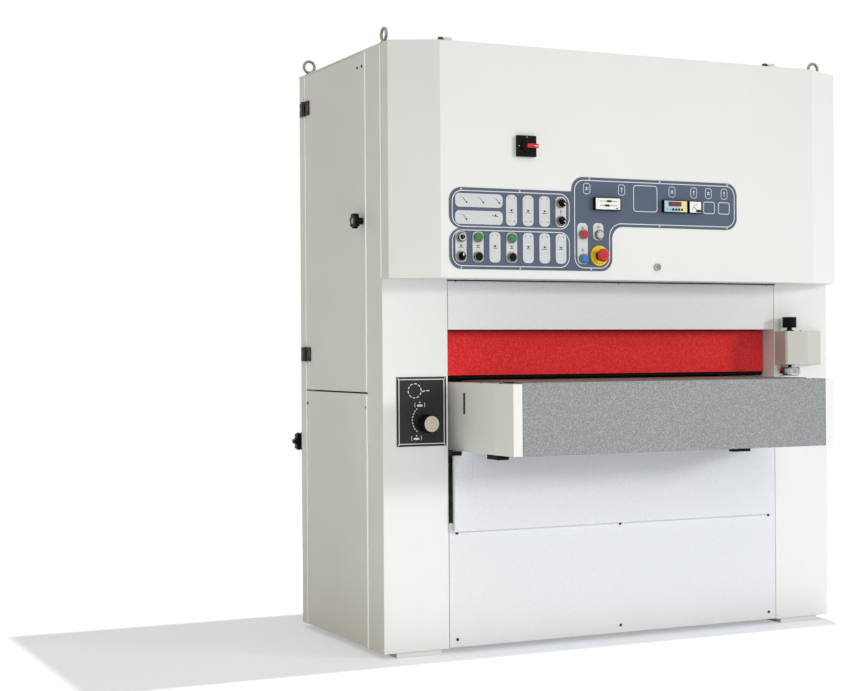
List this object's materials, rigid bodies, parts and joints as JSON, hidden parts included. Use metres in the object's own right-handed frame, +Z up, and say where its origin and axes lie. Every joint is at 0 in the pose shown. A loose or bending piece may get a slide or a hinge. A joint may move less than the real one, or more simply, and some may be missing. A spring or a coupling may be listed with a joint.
{
  "type": "wide belt sander",
  "caption": "Free-standing wide belt sander: conveyor table between two columns, drum-driven abrasive belt above, lift-up front hood with control panel, side doors.",
  "frame": {"origin": "on the floor under the middle of the machine", "axes": "+X to the right as the operator sees it, +Y away from the operator along the feed, +Z up"},
  "size_m": [1.645, 1.331, 1.851],
  "materials": {
    "white_paint": "orange-peel powder coat",
    "grey_texture_paint": "wrinkle powder coat",
    "red_paint": "satin powder coat",
    "machined_steel": "turned or milled",
    "galvanised_sheet": "zinc coated sheet",
    "zinc_steel": "forged, zinc plated",
    "motor_paint": "cast, painted",
    "black_steel": "black powder coat",
    "chrome_plate": "polished",
    "roller_aluminium": "turned",
    "drum_rubber": "ground rubber cover",
    "belt_rubber": "rough-top conveyor belt",
    "abrasive_cloth": "grain on cloth",
    "black_plastic": "moulded",
    "panel_film": "printed film",
    "red_plastic": "moulded",
    "green_plastic": "moulded",
    "blue_plastic": "moulded",
    "clear_plastic": "moulded"
  },
  "bodies": {
    "frame": {"base_frame": "white_paint", "left_column": "white_paint", "right_column": "white_paint", "cross_beams": "white_paint", "top_cover": "white_paint", "rear_cover": "white_paint", "fixed_covers": "white_paint", "eye_bolts": "zinc_steel", "dust_hood": "galvanised_sheet", "sanding_beam": "machined_steel", "main_motor": "motor_paint", "drive_belts": "drum_rubber", "electrical_panel": "galvanised_sheet", "column_plate": "panel_film", "gauge_housing": "white_paint", "frame_hinges": "black_steel", "lift_drive": "motor_paint", "abrasive_belt": "abrasive_cloth"},
    "table": {"conveyor_bed": "machined_steel", "conveyor_belt": "belt_rubber", "table_sides": "white_paint", "table_plates": "grey_texture_paint", "table_aprons": "white_paint", "conveyor_gearmotor": "motor_paint"},
    "hood": {"hood": "white_paint", "control_panel": "panel_film", "button_bezels": "chrome_plate", "instruments": "black_plastic"},
    "drive_roller": {"drive_roller": "machined_steel"},
    "idler_roller": {"idler_roller": "machined_steel"},
    "lift_screw_left": {"lift_screw_left": "machined_steel"},
    "lift_screw_right": {"lift_screw_right": "machined_steel"},
    "contact_drum": {"contact_drum": "drum_rubber"},
    "motor_pulley": {"motor_pulley": "machined_steel"},
    "tension_fork": {"tension_fork": "machined_steel"},
    "tension_roller": {"tension_roller": "roller_aluminium"},
    "infeed_pressure_roller": {"infeed_pressure_roller": "drum_rubber"},
    "outfeed_pressure_roller": {"outfeed_pressure_roller": "drum_rubber"},
    "infeed_guard": {"infeed_guard": "red_paint"},
    "left_door": {"left_door": "white_paint"},
    "right_door": {"right_door": "white_paint"},
    "left_door_knob": {"left_door_knob": "black_plastic"},
    "right_door_knob": {"right_door_knob": "black_plastic"},
    "rear_knob": {"rear_knob": "black_plastic"},
    "isolator_handle": {"isolator_handle": "red_plastic"},
    "estop_button": {"estop_button": "red_plastic"},
    "start_button": {"start_button": "green_plastic"},
    "conveyor_button": {"conveyor_button": "green_plastic"},
    "stop_button": {"stop_button": "black_plastic"},
    "conveyor_stop_button": {"conveyor_stop_button": "black_plastic"},
    "reset_button": {"reset_button": "red_plastic"},
    "air_button": {"air_button": "blue_plastic"},
    "light_button": {"light_button": "clear_plastic"},
    "key_switch": {"key_switch": "chrome_plate"},
    "mode_selector": {"mode_selector": "black_plastic"},
    "feed_selector": {"feed_selector": "black_plastic"},
    "lift_selector": {"lift_selector": "black_plastic"},
    "cam_lock": {"cam_lock": "chrome_plate"},
    "speed_knob": {"speed_knob": "black_plastic"},
    "gauge_spindle": {"gauge_spindle": "chrome_plate"}
  },
  "joints": [
    {"name": "table_lift", "type": "slide", "parent": "frame", "child": "table", "axis": [0, 0, 1], "range_m": [-0.15, 0]},
    {"name": "left_screw_turn", "type": "hinge", "parent": "frame", "child": "lift_screw_left", "pos_m": [-0.6505, 0, 0.3], "axis": [0, 0, 1], "range_deg": [-9010, 10]},
    {"name": "right_screw_turn", "type": "hinge", "parent": "frame", "child": "lift_screw_right", "pos_m": [0.6505, 0, 0.3], "axis": [0, 0, 1], "range_deg": [-9010, 10]},
    {"name": "feed_drive", "type": "hinge", "parent": "table", "child": "drive_roller", "pos_m": [0, 0.5895, 0.7467], "axis": [1, 0, 0], "continuous": true},
    {"name": "feed_idle", "type": "hinge", "parent": "table", "child": "idler_roller", "pos_m": [0, -0.5895, 0.7467], "axis": [1, 0, 0], "continuous": true},
    {"name": "drum_spin", "type": "hinge", "parent": "frame", "child": "contact_drum", "pos_m": [0, 0, 0.9205], "axis": [1, 0, 0], "continuous": true},
    {"name": "motor_spin", "type": "hinge", "parent": "frame", "child": "motor_pulley", "pos_m": [0.64, 0.156, 0.155], "axis": [1, 0, 0], "continuous": true},
    {"name": "belt_tension", "type": "slide", "parent": "frame", "child": "tension_fork", "axis": [0, 0, 1], "range_m": [-0.015, 0]},
    {"name": "tension_spin", "type": "hinge", "parent": "tension_fork", "child": "tension_roller", "pos_m": [0, 0, 1.5755], "axis": [1, 0, 0], "continuous": true},
    {"name": "infeed_roller_spin", "type": "hinge", "parent": "frame", "child": "infeed_pressure_roller", "pos_m": [0, -0.15, 0.838], "axis": [1, 0, 0], "continuous": true},
    {"name": "outfeed_roller_spin", "type": "hinge", "parent": "frame", "child": "outfeed_pressure_roller", "pos_m": [0, 0.15, 0.838], "axis": [1, 0, 0], "continuous": true},
    {"name": "guard_swing", "type": "hinge", "parent": "frame", "child": "infeed_guard", "pos_m": [0, -0.262, 0.938], "axis": [1, 0, 0], "range_deg": [0, 12]},
    {"name": "left_door_swing", "type": "hinge", "parent": "frame", "child": "left_door", "pos_m": [-0.7985, 0.278, 1.269], "axis": [0, 0, -1], "range_deg": [0, 110]},
    {"name": "right_door_swing", "type": "hinge", "parent": "frame", "child": "right_door", "pos_m": [0.7985, 0.278, 1.269], "axis": [0, 0, 1], "range_deg": [0, 110]},
    {"name": "left_latch_turn", "type": "hinge", "parent": "left_door", "child": "left_door_knob", "pos_m": [-0.7915, -0.185, 1.269], "axis": [-1, 0, 0], "range_deg": [0, 90]},
    {"name": "right_latch_turn", "type": "hinge", "parent": "right_door", "child": "right_door_knob", "pos_m": [0.7915, -0.185, 1.269], "axis": [1, 0, 0], "range_deg": [0, 90]},
    {"name": "rear_knob_turn", "type": "hinge", "parent": "frame", "child": "rear_knob", "pos_m": [-0.7715, 0.328, 0.594], "axis": [0, 1, 0], "continuous": true},
    {"name": "hood_lift", "type": "hinge", "parent": "frame", "child": "hood", "pos_m": [0, -0.314, 1.793], "axis": [-1, 0, 0], "range_deg": [0, 75]},
    {"name": "isolator_turn", "type": "hinge", "parent": "hood", "child": "isolator_handle", "pos_m": [-0.3815, -0.438, 1.479], "axis": [0, -1, 0], "range_deg": [0, 90]},
    {"name": "estop_press", "type": "slide", "parent": "hood", "child": "estop_button", "axis": [0, 1, 0], "range_m": [0, 0.005]},
    {"name": "start_press", "type": "slide", "parent": "hood", "child": "start_button", "axis": [0, 1, 0], "range_m": [0, 0.004], "stiffness_N_per_m": 300},
    {"name": "conveyor_press", "type": "slide", "parent": "hood", "child": "conveyor_button", "axis": [0, 1, 0], "range_m": [0, 0.004], "stiffness_N_per_m": 300},
    {"name": "stop_press", "type": "slide", "parent": "hood", "child": "stop_button", "axis": [0, 1, 0], "range_m": [0, 0.004], "stiffness_N_per_m": 300},
    {"name": "conveyor_stop_press", "type": "slide", "parent": "hood", "child": "conveyor_stop_button", "axis": [0, 1, 0], "range_m": [0, 0.004], "stiffness_N_per_m": 300},
    {"name": "reset_press", "type": "slide", "parent": "hood", "child": "reset_button", "axis": [0, 1, 0], "range_m": [0, 0.004], "stiffness_N_per_m": 300},
    {"name": "air_press", "type": "slide", "parent": "hood", "child": "air_button", "axis": [0, 1, 0], "range_m": [0, 0.004], "stiffness_N_per_m": 300},
    {"name": "light_press", "type": "slide", "parent": "hood", "child": "light_button", "axis": [0, 1, 0], "range_m": [0, 0.004], "stiffness_N_per_m": 300},
    {"name": "key_turn", "type": "hinge", "parent": "hood", "child": "key_switch", "pos_m": [-0.5935, -0.438, 1.21], "axis": [0, -1, 0], "range_deg": [0, 90]},
    {"name": "mode_turn", "type": "hinge", "parent": "hood", "child": "mode_selector", "pos_m": [-0.5935, -0.438, 1.155], "axis": [0, -1, 0], "range_deg": [-45, 45]},
    {"name": "feed_turn", "type": "hinge", "parent": "hood", "child": "feed_selector", "pos_m": [-0.2653, -0.438, 1.317], "axis": [0, -1, 0], "range_deg": [0, 70]},
    {"name": "lift_turn", "type": "hinge", "parent": "hood", "child": "lift_selector", "pos_m": [-0.2653, -0.438, 1.265], "axis": [0, -1, 0], "range_deg": [0, 70]},
    {"name": "cam_turn", "type": "hinge", "parent": "hood", "child": "cam_lock", "pos_m": [0.0705, -0.438, 1.134], "axis": [0, -1, 0], "range_deg": [0, 90]},
    {"name": "speed_turn", "type": "hinge", "parent": "frame", "child": "speed_knob", "pos_m": [-0.6585, -0.328, 0.675], "axis": [0, -1, 0], "range_deg": [-150, 150]},
    {"name": "gauge_feel", "type": "slide", "parent": "frame", "child": "gauge_spindle", "axis": [0, 0, 1], "range_m": [0, 0.006]}
  ],
  "couplings": [
    {"joint": "left_screw_turn", "follows": "table_lift", "rad_per_m": 1047.2},
    {"joint": "right_screw_turn", "follows": "table_lift", "rad_per_m": 1047.2},
    {"joint": "feed_idle", "follows": "feed_drive", "ratio": 1},
    {"joint": "motor_spin", "follows": "drum_spin", "ratio": 1.2857},
    {"joint": "tension_spin", "follows": "drum_spin", "ratio": 1.4667}
  ]
}
